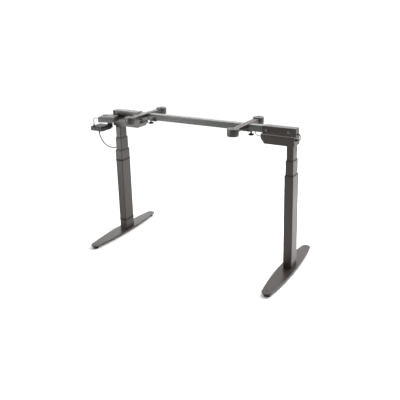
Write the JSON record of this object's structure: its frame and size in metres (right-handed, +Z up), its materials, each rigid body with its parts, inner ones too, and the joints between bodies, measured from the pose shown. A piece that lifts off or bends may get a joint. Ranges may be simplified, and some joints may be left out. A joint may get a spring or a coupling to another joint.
{
  "type": "height adjustable desk underframe",
  "caption": "Electric sit-stand desk underframe: telescopic lifting columns on flat feet, a crossbar with cross arms for a desk top, control box and handset.",
  "frame": {"origin": "centre of the bounding box on the floor, measured without the cables", "axes": "+X along the crossbar towards the right column, +Y to the back, +Z up"},
  "size_m": [1.3195, 0.618, 0.813],
  "materials": {
    "graphite_powder_coat": "semi-gloss powder coat",
    "silver_grey_coat": "semi-gloss powder coat",
    "zinc_steel": "zinc plated",
    "brass": "machined",
    "black_plastic": "moulded",
    "grey_plastic": "moulded",
    "rubber": "matte",
    "webbing": "woven hook-and-loop",
    "circuit_board": "glass epoxy",
    "cable_black": "matte PVC",
    "cable_grey": "matte PVC"
  },
  "bodies": {
    "left_base": {"left_foot": "graphite_powder_coat", "left_outer_tube": "graphite_powder_coat", "left_outer_glide": "black_plastic", "left_foot_screws": "zinc_steel", "left_base_tube": "zinc_steel", "left_straps": "webbing"},
    "left_front_leveller": {"left_front_leveller": "rubber"},
    "left_rear_leveller": {"left_rear_leveller": "rubber"},
    "left_middle": {"left_middle_tube": "graphite_powder_coat", "left_middle_glide": "black_plastic", "left_push_tube": "zinc_steel"},
    "left_hollow_screw": {"left_hollow_screw": "zinc_steel"},
    "top_frame": {"left_upper_tube": "graphite_powder_coat", "right_upper_tube": "graphite_powder_coat", "left_motor_housing": "graphite_powder_coat", "right_motor_housing": "graphite_powder_coat", "gearmotors": "zinc_steel", "cable_glands": "rubber", "worm_shafts": "zinc_steel", "left_rail": "graphite_powder_coat", "right_rail": "graphite_powder_coat", "rail_bolts": "zinc_steel", "crossbar": "silver_grey_coat", "hanger_bracket": "graphite_powder_coat", "control_box_base": "grey_plastic", "control_box_cover": "grey_plastic", "control_board": "circuit_board", "handset_base": "black_plastic", "handset_cover": "black_plastic", "link_cable": "cable_grey", "handset_cord": "cable_black", "left_motor_cable": "cable_black", "right_motor_cable": "cable_black", "right_end_cable": "cable_black"},
    "left_drive": {"left_drive_screw": "zinc_steel", "left_worm_wheel": "brass"},
    "right_drive": {"right_drive_screw": "zinc_steel", "right_worm_wheel": "brass"},
    "left_arm": {"left_arm": "silver_grey_coat", "left_arm_pads": "rubber", "left_clamp": "graphite_powder_coat", "left_cable_clip": "black_plastic"},
    "left_thumbscrew": {"left_thumbscrew": "black_plastic"},
    "right_arm": {"right_arm": "silver_grey_coat", "right_arm_pads": "rubber", "right_clamp": "graphite_powder_coat"},
    "right_thumbscrew": {"right_thumbscrew": "black_plastic"},
    "up_button": {"up_button": "grey_plastic"},
    "down_button": {"down_button": "grey_plastic"},
    "right_middle": {"right_middle_tube": "graphite_powder_coat", "right_middle_glide": "black_plastic", "right_push_tube": "zinc_steel"},
    "right_hollow_screw": {"right_hollow_screw": "zinc_steel"},
    "right_base": {"right_foot": "graphite_powder_coat", "right_outer_tube": "graphite_powder_coat", "right_outer_glide": "black_plastic", "right_foot_screws": "zinc_steel", "right_base_tube": "zinc_steel"},
    "right_front_leveller": {"right_front_leveller": "rubber"},
    "right_rear_leveller": {"right_rear_leveller": "rubber"}
  },
  "joints": [
    {"name": "lift", "type": "slide", "parent": "left_base", "child": "top_frame", "axis": [0, 0, 1], "range_m": [-0.14, 0.46]},
    {"name": "left_middle_lift", "type": "slide", "parent": "left_base", "child": "left_middle", "axis": [0, 0, 1], "range_m": [-0.07, 0.23]},
    {"name": "right_middle_lift", "type": "slide", "parent": "top_frame", "child": "right_middle", "axis": [0, 0, -1], "range_m": [-0.07, 0.23]},
    {"name": "right_base_lift", "type": "slide", "parent": "right_middle", "child": "right_base", "axis": [0, 0, -1], "range_m": [-0.07, 0.23]},
    {"name": "left_drive_spin", "type": "hinge", "parent": "top_frame", "child": "left_drive", "pos_m": [-0.5195, 0.027, 0.74], "axis": [0, 0, 1], "range_deg": [-5045, 16565]},
    {"name": "right_drive_spin", "type": "hinge", "parent": "top_frame", "child": "right_drive", "pos_m": [0.6145, 0.027, 0.74], "axis": [0, 0, 1], "range_deg": [-5045, 16565]},
    {"name": "left_hollow_spin", "type": "hinge", "parent": "left_middle", "child": "left_hollow_screw", "pos_m": [-0.5195, 0.027, 0.3], "axis": [0, 0, 1], "range_deg": [-5045, 16565]},
    {"name": "right_hollow_spin", "type": "hinge", "parent": "right_middle", "child": "right_hollow_screw", "pos_m": [0.6145, 0.027, 0.3], "axis": [0, 0, 1], "range_deg": [-5045, 16565]},
    {"name": "left_arm_slide", "type": "slide", "parent": "top_frame", "child": "left_arm", "axis": [1, 0, 0], "range_m": [0, 0.1]},
    {"name": "right_arm_slide", "type": "slide", "parent": "top_frame", "child": "right_arm", "axis": [-1, 0, 0], "range_m": [0, 0.1]},
    {"name": "left_thumbscrew_turn", "type": "hinge", "parent": "left_arm", "child": "left_thumbscrew", "pos_m": [-0.2705, 0.008, 0.75], "axis": [0, 0, 1], "continuous": true},
    {"name": "right_thumbscrew_turn", "type": "hinge", "parent": "right_arm", "child": "right_thumbscrew", "pos_m": [0.3895, 0.008, 0.75], "axis": [0, 0, 1], "continuous": true},
    {"name": "up_button_press", "type": "slide", "parent": "top_frame", "child": "up_button", "axis": [0, 1, 0], "range_m": [0, 0.0012], "stiffness_N_per_m": 400, "springref_m": -0.001},
    {"name": "down_button_press", "type": "slide", "parent": "top_frame", "child": "down_button", "axis": [0, 1, 0], "range_m": [0, 0.0012], "stiffness_N_per_m": 400, "springref_m": -0.001},
    {"name": "left_front_leveller_screw", "type": "slide", "parent": "left_base", "child": "left_front_leveller", "axis": [0, 0, -1], "range_m": [-0.005, 0.009]},
    {"name": "left_rear_leveller_screw", "type": "slide", "parent": "left_base", "child": "left_rear_leveller", "axis": [0, 0, -1], "range_m": [-0.005, 0.009]},
    {"name": "right_front_leveller_screw", "type": "slide", "parent": "right_base", "child": "right_front_leveller", "axis": [0, 0, -1], "range_m": [-0.005, 0.009]},
    {"name": "right_rear_leveller_screw", "type": "slide", "parent": "right_base", "child": "right_rear_leveller", "axis": [0, 0, -1], "range_m": [-0.005, 0.009]}
  ],
  "couplings": [
    {"joint": "left_middle_lift", "follows": "lift", "ratio": 0.5},
    {"joint": "right_middle_lift", "follows": "lift", "ratio": 0.5},
    {"joint": "right_base_lift", "follows": "lift", "ratio": 0.5},
    {"joint": "left_drive_spin", "follows": "lift", "rad_per_m": 628.3},
    {"joint": "right_drive_spin", "follows": "lift", "rad_per_m": 628.3},
    {"joint": "left_hollow_spin", "follows": "lift", "rad_per_m": 628.3},
    {"joint": "right_hollow_spin", "follows": "lift", "rad_per_m": 628.3}
  ]
}
